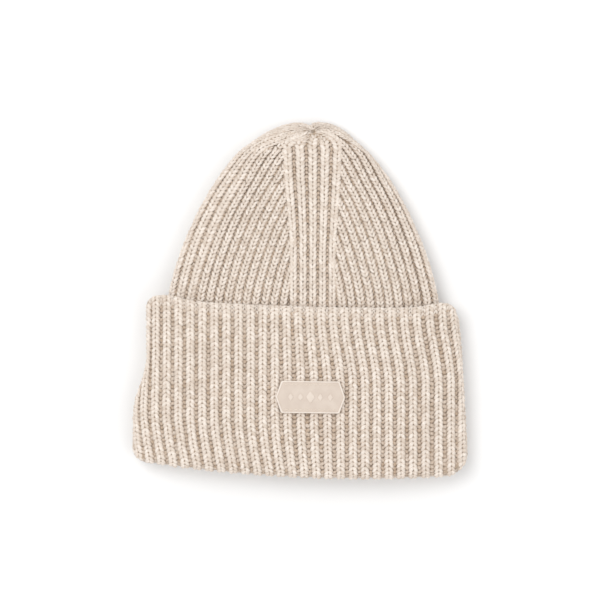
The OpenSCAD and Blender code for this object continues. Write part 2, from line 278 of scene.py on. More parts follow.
# ---------------------------------------------------------------- yarn
class Yarn:
    """Collects short closed yarn tubes and turns them into one mesh."""

    def __init__(self):
        self.parts = []

    def add(self, skin, rib, rho0, u, v, w, ru, rw, sides, tint, painted_flank_shade=0.0):
        """Lays one tube per rho0 on the skin. u, v, w are the centre line: across the rib in half widths,
        along it and above the skin in metres. ru and rw are the tube's radii across and above. The last
        argument
        is painted shade: how much the yarn is darkened towards the rib's sides, where the valleys lie in
        shadow."""
        rings = len(u)
        n = len(rho0)
        du = np.gradient(u) * rib.nominal
        dv = np.gradient(v)
        size = np.hypot(du, dv)
        theta = np.arange(sides) / sides * 2 * math.pi - math.pi / 2
        across = ru[:, None] * np.cos(theta)
        big = (1 + rng.normal(0, 0.05, n))[:, None, None]
        shift = rng.normal(0, 0.10 * MM, (n, 1, 1))
        lift = rng.normal(0, 0.13 * MM, (n, 1, 1))
        off_v = (across * (-du / size)[:, None])[None] * big
        off_u = (across * (dv / size)[:, None])[None] * big
        rho0 = (rho0 + rng.normal(0, 0.045 * ROW, n))[:, None, None]
        sin, cos, pace, climb = rib.lean(rho0)
        scale = rib.at(rho0)[1] / rib.nominal
        aside = (u[None, :, None] * rib.nominal + off_u) * scale + shift
        rho = rho0 + (v[None, :, None] + off_v) * pace - aside * sin * climb
        centre, _, sink, press = rib.at(rho)
        s = centre + aside / cos
        above = w[None, :, None] + (rw[:, None] * np.sin(theta))[None] * big
        height = above * np.sqrt(scale) * press + sink + lift
        point, normal = skin.at(rho, s)
        verts = point + normal * height[..., None]
        length = np.concatenate([[0], np.cumsum(size[1:])])
        fibre = np.stack(np.broadcast_arrays(
            (theta / (2 * math.pi))[None, None, :],
            (length / MM)[None, :, None],
            rng.uniform(0, 50, (n, 1, 1))), -1)
        # painted shade: the yarn darkens towards the rib's sides, so the valleys between the ribs read as
        # shadowed
        tint = tint[:, None, None] - painted_flank_shade * smooth((np.abs(aside) / (rib.nominal * scale) - 0.6) / 0.45)
        shape = (n, rings * sides, 3)
        self.parts.append((verts.reshape(shape), fibre.reshape(shape), tint, rings, sides))

    def make(self, name, material):
        verts, fibres, tints, loops, totals = [], [], [], [], []
        base = 0
        for points, fibre, tint, rings, sides in self.parts:
            n = len(points)
            ring = np.arange(sides)
            nxt = (ring + 1) % sides
            low = np.arange(rings - 1)[:, None] * sides
            high = low + sides
            quads = np.stack([low + ring, low + nxt, high + nxt, high + ring], 2).reshape(-1, 4)
            one = np.concatenate([quads.ravel(), ring[::-1], (rings - 1) * sides + ring])
            loops.append((one[None] + (base + np.arange(n) * rings * sides)[:, None]).ravel())
            totals.append(np.tile(np.array([4] * len(quads) + [sides] * 2), n))
            verts.append(points.reshape(-1, 3))
            fibres.append(fibre.reshape(-1, 3))
            tints.append(tint.ravel())
            base += n * rings * sides
        mesh = raw_mesh(name, np.concatenate(verts), np.concatenate(loops), np.concatenate(totals))
        paint(mesh, np.concatenate(tints), np.concatenate(fibres))
        return add_object(name, mesh, material)


def faces(a, b, c, d):
    """Four-sided faces from four arrays of point numbers."""
    return np.stack([a.ravel(), b.ravel(), c.ravel(), d.ravel()], 1)


def raw_mesh(name, verts, loops, totals):
    """A smooth mesh from its points, the point numbers of all faces in a row, and how many each face has."""
    mesh = bpy.data.meshes.new(name)
    mesh.vertices.add(len(verts))
    mesh.vertices.foreach_set("co", verts.astype(np.float32).ravel())
    mesh.loops.add(len(loops))
    mesh.loops.foreach_set("vertex_index", loops.astype(np.int32))
    mesh.polygons.add(len(totals))
    starts = np.concatenate([[0], np.cumsum(totals)[:-1]])
    mesh.polygons.foreach_set("loop_start", starts.astype(np.int32))
    mesh.polygons.foreach_set("loop_total", totals.astype(np.int32))
    mesh.polygons.foreach_set("use_smooth", np.ones(len(totals), bool))
    mesh.update(calc_edges=True)
    mesh.validate()
    return mesh


def paint(mesh, tint, fibre):
    """Gives each point its tone, which also holds painted shade, and its place along and round the yarn, for
    the wool's texture.
    """
    tone = mesh.attributes.new("tint", "FLOAT", "POINT")
    tone.data.foreach_set("value", tint.astype(np.float32))
    place = mesh.attributes.new("fibre", "FLOAT_VECTOR", "POINT")
    place.data.foreach_set("vector", fibre.astype(np.float32).ravel())


def add_object(name, mesh, material):
    piece = bpy.data.objects.new(name, mesh)
    bpy.context.scene.collection.objects.link(piece)
    piece.data.materials.append(material)
    return piece


class Rib:
    """The middle line of one rib: where it is round the hat, how wide and how deep, along rho. Its stitches
    keep their height along it and lie square to it, however it leans. press flattens them."""

    def __init__(self, skin, centre, half, sink=0.0, start=None, end=None, press=1.0):
        self.rho = rho = skin.rho
        self.centre = centre
        self.half = np.broadcast_to(half, rho.shape)
        self.sink = np.broadcast_to(sink, rho.shape)
        self.press = np.broadcast_to(press, rho.shape)
        self.nominal = float(np.max(self.half))
        self.start = rho[0] if start is None else start
        self.end = rho[-1] if end is None else end
        point, _ = skin.at(rho, centre)
        aside, _ = skin.at(rho, centre + 0.5 * MM)
        step = np.gradient(point, axis=0)
        size = np.linalg.norm(step, axis=1)
        tangent = (aside - point) / np.linalg.norm(aside - point, axis=1)[:, None]
        drho = np.gradient(rho)
        self.far = arc_length(point)
        self.sin = np.clip((step * tangent).sum(1) / size, -0.8, 0.8)
        self.cos = np.sqrt(1 - self.sin ** 2)
        self.pace = drho / size
        self.climb = drho / (size * self.cos)

    def read(self, rho, *lines):
        return tuple(np.interp(rho, self.rho, line) for line in lines)

    def at(self, rho):
        return self.read(rho, self.centre, self.half, self.sink, self.press)

    def lean(self, rho):
        return self.read(rho, self.sin, self.cos, self.pace, self.climb)

    def stitches(self, low, high, phase=0.0):
        """The rho of the rib's stitches between two limits, evenly spaced along the rib."""
        low, high = np.interp([max(low, self.start), min(high, self.end)], self.rho, self.far)
        first = math.ceil(low / ROW - phase)
        last = math.ceil(high / ROW - phase) - 1
        return np.interp((np.arange(first, last + 1) + phase) * ROW, self.far, self.rho)


def knit(yarn, skin, rib, low, high, sides=8, rings=7):
    """The two columns of legs of one rib, a V per stitch that opens along the knitting."""
    rho0 = rib.stitches(low, high)
    if not len(rho0):
        return
    t = np.linspace(0, 1, rings)
    v = lerp(-0.66, 0.66, t) * ROW
    across = 0.04 + 0.82 * t ** 0.9
    w = (-1.0 - 0.45 * (2 * t - 1) ** 2 - 0.3 * (1 - t) - 1.35 * across ** 2) * MM
    thick = 0.42 + 0.58 * np.sin(math.pi * t) ** 0.7 + 0.12 * (1 - t) ** 2
    radius = rib.nominal * 0.365
    for side in (-1, 1):
        tint = rng.normal(0, 1, len(rho0)).clip(-2, 2) / 7 + 0.8
        # 0.35: painted shade on the rib's sides
        yarn.add(skin, rib, rho0, side * across, v, w, radius * thick, 1.1 * MM * thick, sides, tint, 0.35)


def purl(yarn, skin, gutter, low, high, depth=3.1 * MM, narrow=False, sides=6, rings=6):
    """The bumps in the gutter between two ribs, one arched strand per stitch, toned low as painted shade; in
    a wide one they zigzag.
    """
    rho0 = gutter.stitches(low, high, 0.5)
    if not len(rho0):
        return
    t = np.linspace(-1, 1, rings)
    thick = 0.62 + 0.38 * (1 - t * t) ** 0.5
    # the low tone is painted shade for the gutter the bumps lie in
    slant, radius, tone = (0.07, 1.6 * MM, 0.1) if narrow else (0.2, 1.35 * MM, 0.24)
    for odd in (0, 1):
        some = rho0[odd::2]
        v = (0.12 * (1 - t * t) + (slant if odd else -slant) * t) * ROW
        w = -depth + 0.35 * MM * (1 - t * t)
        tint = rng.normal(0, 1, len(some)).clip(-2, 2) / 7 + tone
        yarn.add(skin, gutter, some, t, v, w, radius * thick, 0.9 * MM * thick, sides, tint)


def gutter_between(skin, a, b, spare=0.7 * MM):
    """The line between two ribs, half as wide as the room there plus what tucks under the ribs."""
    centre = (a.centre + b.centre) / 2
    room = (b.centre - a.centre) / 2 - (a.half + b.half) / 2
    return Rib(skin, centre, np.maximum(room, 0) + spare, (a.sink + b.sink) / 2,
               max(a.start, b.start), min(a.end, b.end))


def ground(name, skin, rhos, first, last, ribs, material, depth, thick=0.9 * MM, columns=130):
    """The closed cloth under the stitches, toned darker as painted shade. first and last are the sides at
    each rho;
    it rises under ribs.
    """
    part = np.linspace(0, 1, columns)[None, :]
    rho = rhos[:, None] + 0 * part
    s = lerp(first(rhos)[:, None], last(rhos)[:, None], part)
    rise = np.zeros_like(s)
    length = np.interp(rho, skin.rho, skin.length)
    for rib in ribs:
        centre, half = rib.at(rho)[:2]
        away = np.abs((s - centre + length / 2) % length - length / 2)
        inside = (rho >= rib.start) & (rho <= rib.end)
        rise = np.maximum(rise, np.where(inside, smooth(1.15 - away / half), 0))
    point, normal = skin.at(rho, s)
    outer = point - normal * (depth(rho) * (1 - 0.46 * rise))[..., None]
    inner = outer - normal * thick
    m, n = outer.shape[:2]
    verts = np.concatenate([outer.reshape(-1, 3), inner.reshape(-1, 3)])
    idx = np.arange(m * n).reshape(m, n)
    back = idx + m * n
    quads = np.concatenate([
        faces(idx[:-1, :-1], idx[:-1, 1:], idx[1:, 1:], idx[1:, :-1]),
        faces(back[:-1, :-1], back[1:, :-1], back[1:, 1:], back[:-1, 1:]),
        faces(idx[0, :-1], back[0, :-1], back[0, 1:], idx[0, 1:]),
        faces(idx[-1, 1:], back[-1, 1:], back[-1, :-1], idx[-1, :-1]),
        faces(idx[1:, 0], back[1:, 0], back[:-1, 0], idx[:-1, 0]),
        faces(idx[:-1, -1], back[:-1, -1], back[1:, -1], idx[1:, -1])])
    mesh = raw_mesh(name, verts, quads.ravel(), np.full(len(quads), 4))
    fibre = np.stack([s, rho, np.zeros_like(s)], -1).reshape(-1, 3) / MM
    # painted shade: the whole cloth takes the low ground tone
    paint(mesh, np.full(len(verts), GROUND_SHADE_TINT), np.concatenate([fibre, fibre]))
    return add_object(name, mesh, material)


def cloth(rhos, first, last):
    """The width of a piece of the knit at each rho; it is worked out and not kept."""
    wide = last(rhos) - first(rhos)


# ---------------------------------------------------------------- materials
def srgb(r, g, b):
    def linear(c):
        c /= 255
        return c / 12.92 if c <= 0.04045 else ((c + 0.055) / 1.055) ** 2.4
    return (linear(r), linear(g), linear(b), 1)


def new_material(name):
    material = bpy.data.materials.new(name)
    material.use_nodes = True
    nodes = material.node_tree.nodes
    return material, nodes, material.node_tree.links, nodes["Principled BSDF"]


def texture(nodes, links, kind, place, **values):
    """A texture node that reads a place; values are its own inputs."""
    node = nodes.new("ShaderNodeTex" + kind)
    for name, value in values.items():
        node.inputs[name].default_value = value
    links.new(place, node.inputs["Vector"])
    return node.outputs["Fac"]


def object_place(nodes):
    return nodes.new("ShaderNodeTexCoord").outputs["Object"]


def bumps(nodes, links, shader, height, strength, distance):
    node = nodes.new("ShaderNodeBump")
    node.inputs["Strength"].default_value = strength
    node.inputs["Distance"].default_value = distance
    links.new(height, node.inputs["Height"])
    links.new(node.outputs["Normal"], shader.inputs["Normal"])


def mix_colour(nodes, links, factor, a, b):
    """a where the factor is 0 and b where it is 1; each is a colour or another node's output."""
    mix = nodes.new("ShaderNodeMix")
    mix.data_type = "RGBA"
    links.new(factor, mix.inputs["Factor"])
    for socket, value in (("A", a), ("B", b)):
        target = [i for i in mix.inputs if i.name == socket and i.type == "RGBA"][0]
        if isinstance(value, tuple):
            target.default_value = value
        else:
            links.new(value, target)
    return [o for o in mix.outputs if o.type == "RGBA"][0]


def ramp(nodes, links, factor, low, high, top=1.0):
    """Spreads the part of a factor between low and high over 0 to top."""
    node = nodes.new("ShaderNodeMapRange")
    node.inputs["From Min"].default_value = low
    node.inputs["From Max"].default_value = high
    node.inputs["To Max"].default_value = top
    node.clamp = True
    links.new(factor, node.inputs["Value"])
    return node.outputs["Result"]


def wool(name, light, deep, fleck, roughness=0.92):
    """Heathered wool: every stitch has its own tone, with deeper strands and pale flecks along the yarn. Low
    tints, painted shade on the rib sides, the purls and the cloth, mix towards the deep colour.
    """
    material, nodes, links, shader = new_material(name)
    tint = nodes.new("ShaderNodeAttribute")
    tint.attribute_name = "tint"
    fibre = nodes.new("ShaderNodeAttribute")
    fibre.attribute_name = "fibre"
    stretch = nodes.new("ShaderNodeMapping")
    stretch.inputs["Scale"].default_value = (9, 1.1, 1)
    stretch.inputs["Rotation"].default_value = (0, 0, 0.35)
    links.new(fibre.outputs["Vector"], stretch.inputs["Vector"])
    strands = texture(nodes, links, "Noise", stretch.outputs["Vector"], Scale=1.6, Detail=4, Roughness=0.65)
    heather = texture(nodes, links, "Noise", object_place(nodes), Scale=2600, Detail=3)
    # tint mixes deep to light: a random tone per stitch plus painted shade
    tone = mix_colour(nodes, links, tint.outputs["Fac"], deep, light)
    tone = mix_colour(nodes, links, ramp(nodes, links, strands, 0.58, 0.38, 0.4), tone, deep)
    tone = mix_colour(nodes, links, ramp(nodes, links, heather, 0.50, 0.80, 0.8), tone, fleck)
    links.new(tone, shader.inputs["Base Color"])
    bumps(nodes, links, shader, strands, 0.8, 0.00035)
    shader.inputs["Roughness"].default_value = roughness
    shader.inputs["Specular IOR Level"].default_value = 0.15
    shader.inputs["Sheen Weight"].default_value = 0.25
    shader.inputs["Sheen Roughness"].default_value = 0.6
    return material


def moulded(name, base, worn):
    """Matt silicone: a faint cloudiness and a fine cast grain."""
    material, nodes, links, shader = new_material(name)
    place = object_place(nodes)
    cloud = texture(nodes, links, "Noise", place, Scale=160, Detail=5)
    tone = mix_colour(nodes, links, ramp(nodes, links, cloud, 0.40, 0.70), base, worn)
    links.new(tone, shader.inputs["Base Color"])
    bumps(nodes, links, shader, texture(nodes, links, "Noise", place, Scale=2600), 0.15, 0.0001)
    shader.inputs["Roughness"].default_value = 0.55
    shader.inputs["Specular IOR Level"].default_value = 0.35
    return material


def tape(name):
    """Woven satin tape of the care label."""
    material, nodes, links, shader = new_material(name)
    weave = texture(nodes, links, "Wave", object_place(nodes), Scale=900, Distortion=1.5)
    tone = mix_colour(nodes, links, weave, srgb(236, 233, 226), srgb(248, 247, 243))
    links.new(tone, shader.inputs["Base Color"])
    bumps(nodes, links, shader, weave, 0.3, 0.0001)
    shader.inputs["Roughness"].default_value = 0.6
    return material


WOOL = wool("wool_knit", srgb(246, 236, 226), srgb(184, 160, 136), srgb(252, 248, 242))
# a darker copy of the knit's wool for the cloth under the stitches: painted shade
WOOL_SHADED = wool("wool_ground_painted_shade", srgb(208, 188, 168), srgb(180, 158, 136), srgb(222, 208, 192))
SILICONE = moulded("moulded_patch", srgb(206, 191, 178), srgb(213, 199, 186))
# lighter copies of the patch's silicone for its raised emblem and rim: painted highlight on the raised parts
SILICONE_MARK_LIT = moulded("moulded_mark_painted_highlight", srgb(217, 203, 190), srgb(224, 211, 199))
SILICONE_RIM_LIT = moulded("moulded_rim_painted_highlight", srgb(226, 214, 203), srgb(234, 223, 212))
THREAD = wool("sewing_thread", srgb(240, 230, 218), srgb(222, 208, 192), srgb(250, 246, 240), 0.7)
TAPE = tape("woven_tape")


# ---------------------------------------------------------------- the turn-up: free edge, cuff, fold, lip
def turn_up_loop():
    """Rows from inside the free edge, over it, down the cuff, round the fold and up inside the mouth."""
    inside = [cuff_row(v, FABRIC) for v in np.linspace(0.97, 1, 4)[:-1]]
    over = []
    for f in np.linspace(math.pi, 0, 9):
        over.append(cuff_row(1, EDGE_R * (1 - math.cos(f)), EDGE_R * math.sin(f)))
    down = [cuff_row(v, 0) for v in np.linspace(1, 0, 61)[1:]]
    round_fold = []
    for f in np.linspace(0, math.pi, 13)[1:]:
        round_fold.append(band_row(0, ROLL_R * (1 - math.cos(f)), ROLL_R * math.sin(f)))
    lip = [band_row(v, BAND_OFF + FABRIC) for v in np.linspace(0, 1, 41)[1:]]
    loop = Loop(inside + over + down + round_fold + lip, 0.0)
    marks = np.cumsum([len(inside), len(over) - 1, len(down), len(round_fold)])
    loop.edge, loop.face, loop.fold, loop.mouth = (loop.rho[k] for k in marks)
    loop.flap_end = loop.fold - ROW * 0.3
    return loop


def wander(place, v):
    """How far the ribs lean off their even places: the right half near the edge, the left near the fold."""
    right = smooth((place + 0.2) / 0.55) * 5.9 * MM * smooth((0.97 - v) / 0.44)
    right -= 2.9 * MM * smooth((place + 0.25) / 0.75) * smooth((1 - place) / 0.4)
    left = smooth((0.3 - place) / 0.6) * 4.5 * MM * np.clip((0.3 - v) / 0.3, 0, 1) ** 1.5
    return right + left


def edge_press(skin):
    """The knit is thinner where it turns over at the free edge."""
    return lerp(0.5, 1, smooth((skin.rho - skin.face + 2 * MM) / (5 * MM)))


def turn_up_ribs(skin):
    """All ribs of the turn-up, from the left side round the front and the back, and how many are in front."""
    rho = skin.rho
    press = edge_press(skin)
    v = np.interp(rho, [skin.face, skin.fold], [1, 0])
    width = lerp(COLUMN, EDGE_COLUMN, smooth(1 - (rho - skin.face) / (7 * MM)))
    ribs = []
    reach_ribs = HALF_RIBS // 2
    for i in range(-reach_ribs, reach_ribs + 1):
        centre = -0.5 * MM + i * RIB_PITCH + wander(i / reach_ribs, v)
        ribs.append(Rib(skin, centre, RIB_PITCH * width, press=press))
    first, last = ribs[0], ribs[-1]
    room = skin.length + first.centre - last.centre
    back = RIBS - len(ribs)
    for k in range(back):
        pitch = room / (back + 1)
        ribs.append(Rib(skin, last.centre + (k + 1) * pitch, pitch * width, press=press))
    return ribs, 2 * reach_ribs + 1


def next_rib(skin, ribs, i):
    """The rib after i, going round; past the last it is the first again, one length on."""
    if i + 1 < len(ribs):
        return ribs[i + 1]
    first = ribs[0]
    return Rib(skin, first.centre + skin.length, first.half, first.sink, first.start, first.end, first.press)


def lay(name, skin, ribs, which, low, high, material, sides=8, rings=7):
    """One piece of the turn-up. Near the free edge the gutters are filled by narrow columns of their own."""
    yarn = Yarn()
    filled = skin.face + 4.5 * MM
    for i in which:
        knit(yarn, skin, ribs[i], low, high, sides, rings)
        gutter = gutter_between(skin, ribs[i], next_rib(skin, ribs, i))
        purl(yarn, skin, gutter, max(low, filled - 2.5 * MM), high, sides=min(sides, 6), rings=min(rings, 6))
        sink = -0.2 * MM - 1.6 * MM * smooth((skin.rho - skin.face) / (6 * MM))
        column = Rib(skin, gutter.centre, gutter.half, sink, press=edge_press(skin))
        knit(yarn, skin, column, low, min(high, filled), sides, rings)
    return yarn.make(name, material)


def side_lines(skin):
    """s of the left side fold, the right one, and the left one again after one time round, at any rho."""
    left = lambda rho: np.interp(rho, skin.rho, skin.left)
    right = lambda rho: np.interp(rho, skin.rho, skin.right)
    again = lambda rho: left(rho) + np.interp(rho, skin.rho, skin.length)
    return left, right, again


def cloth_depth(skin):
    """How deep the cloth of the turn-up lies under the stitches; it is shallow inside the free edge."""
    turned = lambda rho: lerp(0.4, 1.2, smooth((rho - skin.edge) / (3 * MM)))
    return lambda rho: lerp(turned(rho), 3.3, smooth((rho - skin.face + 2 * MM) / (5 * MM))) * MM


def face_rows(skin):
    """rho of the rows of the cuff's cloth, closer together near the free edge."""
    near = skin.face + 6 * MM
    return np.concatenate([np.linspace(skin.rho[0], near, 26)[:-1], np.linspace(near, skin.flap_end, 44)])


def build_cuff_front(skin, ribs, front):
    """The part that lifts, in two halves, one each side of the middle."""
    middle = front // 2
    left, right, _ = side_lines(skin)
    centre = lambda rho: 0 * rho
    deep, face = cloth_depth(skin), face_rows(skin)
    knit_left = lay("cuff_knit_left", skin, ribs, range(0, middle), skin.rho[0], skin.flap_end, WOOL)
    knit_right = lay("cuff_knit_right", skin, ribs, range(middle, front), skin.rho[0], skin.flap_end, WOOL)
    ground_left = ground("cuff_ground_left", skin, face, left, centre, ribs, WOOL_SHADED, deep)
    ground_right = ground("cuff_ground_right", skin, face, centre, right, ribs, WOOL_SHADED, deep)
    for piece, side in ((knit_left, -1), (ground_left, -1), (knit_right, 1), (ground_right, 1)):
        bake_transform(piece)
    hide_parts("cuff_front")
    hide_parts("cuff_edge_front")
    cloth(face, left, centre)
    cloth(face, centre, right)


def build_cuff_back(skin, ribs, front):
    _, right, again = side_lines(skin)
    face = face_rows(skin)
    knit_back = lay("cuff_knit_back", skin, ribs, range(front, RIBS), skin.rho[0], skin.flap_end, WOOL, 5, 5)
    ground_back = ground("cuff_ground_back", skin, face, right, again, ribs, WOOL_SHADED, cloth_depth(skin))
    for piece in (knit_back, ground_back):
        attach(piece, BODY)
    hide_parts("cuff_back", "cuff_edge_back")
    cloth(face, right, again)


def build_fold(skin, ribs, front):
    """The fold at the mouth and the knit just inside it."""
    left, right, again = side_lines(skin)
    deep = cloth_depth(skin)
    start, end = skin.flap_end, skin.mouth + 24 * MM
    rows = np.linspace(start, end + 2 * MM, 24)
    knit_front = lay("fold_knit_front", skin, ribs, range(0, front), start, end, WOOL)
    knit_back = lay("fold_knit_back", skin, ribs, range(front, RIBS), start, end, WOOL)
    ground_front = ground("fold_ground_front", skin, rows, left, right, ribs, WOOL_SHADED, deep)
    ground_back = ground("fold_ground_back", skin, rows, right, again, ribs, WOOL_SHADED, deep)
    for piece in (knit_front, knit_back, ground_front, ground_back):
        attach(piece, BODY)
    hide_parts("fold_front")
    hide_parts("fold_back")
    cloth(rows, left, right)
    cloth(rows, right, again)


def build_band(skin, ribs):
    """The layer inside the turn-up, as cloth with shallow ribs."""
    left, right, again = side_lines(skin)
    shallow = lambda rho: 1.6 * MM + 0 * rho
    rows = np.linspace(skin.mouth + 22 * MM, skin.rho[-1], 12)
    halves = (("front", left, right, "inner_band_back"), ("back", right, again, "cuff_back"))
    for half, first, last, below in halves:
        band = ground("band_cloth_" + half, skin, rows, first, last, ribs, WOOL_SHADED, shallow)
        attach(band, BODY)
        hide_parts("inner_band_" + half)
        cloth(rows, first, last)


def build_turn_up():
    skin = turn_up_loop()
    ribs, front = turn_up_ribs(skin)
    build_cuff_front(skin, ribs, front)
    build_cuff_back(skin, ribs, front)
    build_fold(skin, ribs, front)
    build_band(skin, ribs)


# ---------------------------------------------------------------- the crown
def strip_edges(y):
    """Left and right side of the front rib strip at height y."""
    left = lerp(-7.5, -12.0, smooth((y - 31 * MM) / (66 * MM))) * MM
    right = lerp(24.0, 28.5, smooth((y - 23 * MM) / (78 * MM))) * MM
    return left, right


def crown_loop():
    levels = np.linspace(CROWN_Y0, CAP_Y, 96)
    panel = [crown_row(y) for y in levels]
    cap = [cap_row(t) for t in np.linspace(0, 0.995, 40)[1:]]
    loop = CrownLoop(panel + cap, CROWN_X, len(panel))
    loop.cap = loop.rho[len(panel) - 1]
    loop.heights = np.concatenate([levels, np.full(len(cap), CAP_Y)])
    return loop


def crown_side_shift(y):
    """How far the ribs of a panel have moved in at height y, near the tip a little less than the outline."""
    move = crown_half(np.array(0.0)) - crown_half(y)
    return move * (1 - 0.08 * smooth((y - 74 * MM) / (24 * MM)))


def place_on(skin, x, back=False):
    """s of the given x on each row of a skin, on the front or the back face; the drawn-in rows repeat."""
    out = []
    half = skin.columns // 2
    for row, length, xs, rho in zip(skin.points, skin.length, x, skin.rho):
        if rho > skin.cap:
            out.append(out[-1])
            continue
        s = np.arange(-half, half) / skin.columns * length
        line = np.roll(row[:, 0], half)
        if back:
            s = np.concatenate([s[half:], s[:half] + length])
            line = row[:, 0]
            low, high = np.argmax(line), np.argmin(line)
            out.append(np.interp(-xs, -line[low:high + 1], s[low:high + 1]))
        else:
            low, high = np.argmin(line), np.argmax(line)
            out.append(np.interp(xs, line[low:high + 1], s[low:high + 1]))
    return np.array(out)


def in_cap(skin, centre):
    """Keeps a line's share of the way round constant over the drawn-in end."""
    k = int(np.searchsorted(skin.rho, skin.cap))
    share = centre[k] / skin.length[k]
    return np.where(np.arange(len(centre)) > k, share * skin.length, centre)


def strip_ribs(skin, low, high, pinch=0.0):
    """Ribs side by side between two lines. With a pinch, every other one slips under at the tip."""
    pitch = (high - low) / STRIP_RIBS
    drawn = pinch * smooth((skin.rho - skin.cap - 12 * MM) / (12 * MM))
    width = STRIP_COLUMN + 0.05 * smooth((skin.rho - skin.cap) / (9 * MM))
    made = []
    for k in range(STRIP_RIBS):
        over = k % 2 == 0
        half = pitch * width * (1 + (0.4 if over else -0.2) * drawn)
        sink = 0 if over else -0.8 * MM * drawn
        end = skin.rho[-1] - (2 if over else 4) * MM
        made.append(Rib(skin, low + (k + 0.5) * pitch, half, sink, end=end))
    return made


def panel_sides(skin, first, last, back):
    """The two sides of a panel; over the drawn-in end they close on each other."""
    a, b = (in_cap(skin, place_on(skin, x, back)) for x in (first, last))
    closing = smooth((skin.rho - skin.cap + 4 * MM) / (20 * MM))
    return lerp(a, (a + b) / 2, closing), lerp(b, (a + b) / 2, closing)


def gore_ribs(skin, panel, low, high):
    """Ribs that all lean in with the outline, cut off where they meet a side of their panel."""
    x0, x1, n, sign, back = panel
    rho = skin.rho
    base = int(np.searchsorted(skin.heights, 0))
    pitch = (x1[base] - x0[base]) / n
    step = abs(pitch)
    shift = crown_side_shift(skin.heights)
    made = []
    for k in range(n):
        x = x0[base] + (k + 0.5) * pitch + sign * (shift if sign > 0 else RIGHT_EASE * shift)
        centre = in_cap(skin, place_on(skin, x, back))
        room, spare = high - centre, centre - low
        if (sign > 0) == back:
            room, spare = spare, room
        gone = np.nonzero(((room < -0.75 * step) | (spare < 0.1 * step)) & (rho > rho[base]))[0]
        end = rho[gone[0]] if len(gone) else rho[-1] - 3.5 * MM
        half = in_cap(skin, step / 2 * GORE_COLUMN * np.cos(np.arctan(np.gradient(x, rho))))
        fade = smooth((end - rho) / (8 * MM))
        made.append(Rib(skin, centre, half * lerp(0.7, 1, fade), -1.6 * MM * (1 - fade), rho[0], end))
    return made


def crown_panels(skin):
    """For each panel: x of its left and right side, its number of ribs, which way they lean, is it behind."""
    y = skin.heights
    shift = crown_side_shift(y)
    left_x, right_x = strip_edges(y)
    base_half = crown_half(y[int(np.searchsorted(y, 0))])
    left_end, right_end = CROWN_X - base_half, CROWN_X + base_half
    back_left_x, back_right_x = 2 * CROWN_X - right_x, 2 * CROWN_X - left_x
    return {
        "front_left": (left_end + 19.2 * MM + shift, left_x, GORE_RIBS[0], 1, False),
        "front_right": (right_x, right_end - 11.5 * MM - RIGHT_EASE * shift, GORE_RIBS[1], -1, False),
        "back_right": (right_end - 17.5 * MM - RIGHT_EASE * shift, back_right_x, GORE_RIBS[0], -1, True),
        "back_left": (back_left_x, left_end + 10.5 * MM + shift, GORE_RIBS[1], 1, True)}


def crown_ribs(skin):
    """All ribs of the crown in order, from the left side fold round the front and the back."""
    panels = crown_panels(skin)
    lines = {name: panel_sides(skin, x0, x1, back) for name, (x0, x1, _, _, back) in panels.items()}
    between = {"strip_left": (lines["back_left"][1] - skin.length, lines["front_left"][0]),
               "strip_front": (lines["front_left"][1], lines["front_right"][0]),
               "strip_right": (lines["front_right"][1], lines["back_right"][0]),
               "strip_back": (lines["back_right"][1], lines["back_left"][0])}
    ribs, groups = [], {}
    for strip, panel in zip(between, panels):
        made = {strip: strip_ribs(skin, *between[strip], pinch=float(strip == "strip_front")),
                panel: gore_ribs(skin, panels[panel], *lines[panel])}
        for name, some in made.items():
            groups[name] = list(range(len(ribs), len(ribs) + len(some)))
            ribs.extend(some)
    return ribs, groups


def build_crown():
    skin = crown_loop()
    ribs, groups = crown_ribs(skin)
    low = skin.rho[0]
    for group, which in groups.items():
        yarn = Yarn()
        narrow = "strip" not in group
        spare, depth = (0.2 * MM, 3.7 * MM) if narrow else (0.5 * MM, 3.0 * MM)
        stands_for = ("crown_panel_" if narrow else "rib_") + group
        for i in which:
            knit(yarn, skin, ribs[i], low, skin.rho[-1])
            gutter = gutter_between(skin, ribs[i], next_rib(skin, ribs, i), spare)
            purl(yarn, skin, gutter, low, skin.cap + 20 * MM, depth, narrow)
        piece = yarn.make("crown_knit_" + group, WOOL)
        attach(piece, BODY)
        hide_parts(stands_for)
    left, right, again = side_lines(skin)
    rhos = np.linspace(low, skin.rho[-1], 70)
    drawn = np.minimum(skin.length / np.interp(skin.cap, skin.rho, skin.length), 1)
    deep = lambda rho: 3.3 * MM * np.sqrt(np.interp(rho, skin.rho, drawn)) + 0.2 * MM
    front = ground("crown_ground_front", skin, rhos, left, right, ribs, WOOL_SHADED, deep)
    back = ground("crown_ground_back", skin, rhos, right, again, ribs, WOOL_SHADED, deep)
    for piece in (front, back):
        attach(piece, BODY)
    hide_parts("crown_gather")
    cloth(rhos, left, right)
    cloth(rhos, right, again)


# ---------------------------------------------------------------- patch, label, closing yarn
def hexagon(w, d, shoulder, r=0.8 * MM, steps=4):
    """Points of a long six-sided outline with rounded corners."""
    flat = w - shoulder
    corners = np.array([(w, 0), (flat, d), (-flat, d), (-w, 0), (-flat, -d), (flat, -d)])
    out = []
    for k in range(len(corners)):
        a, b, c = corners[k - 1], corners[k], corners[(k + 1) % len(corners)]
        p = b + (a - b) / np.linalg.norm(a - b) * r
        q = b + (c - b) / np.linalg.norm(c - b) * r
        for t in np.linspace(0, 1, steps):
            out.append((1 - t) ** 2 * p + 2 * t * (1 - t) * b + t * t * q)
    return np.array(out)


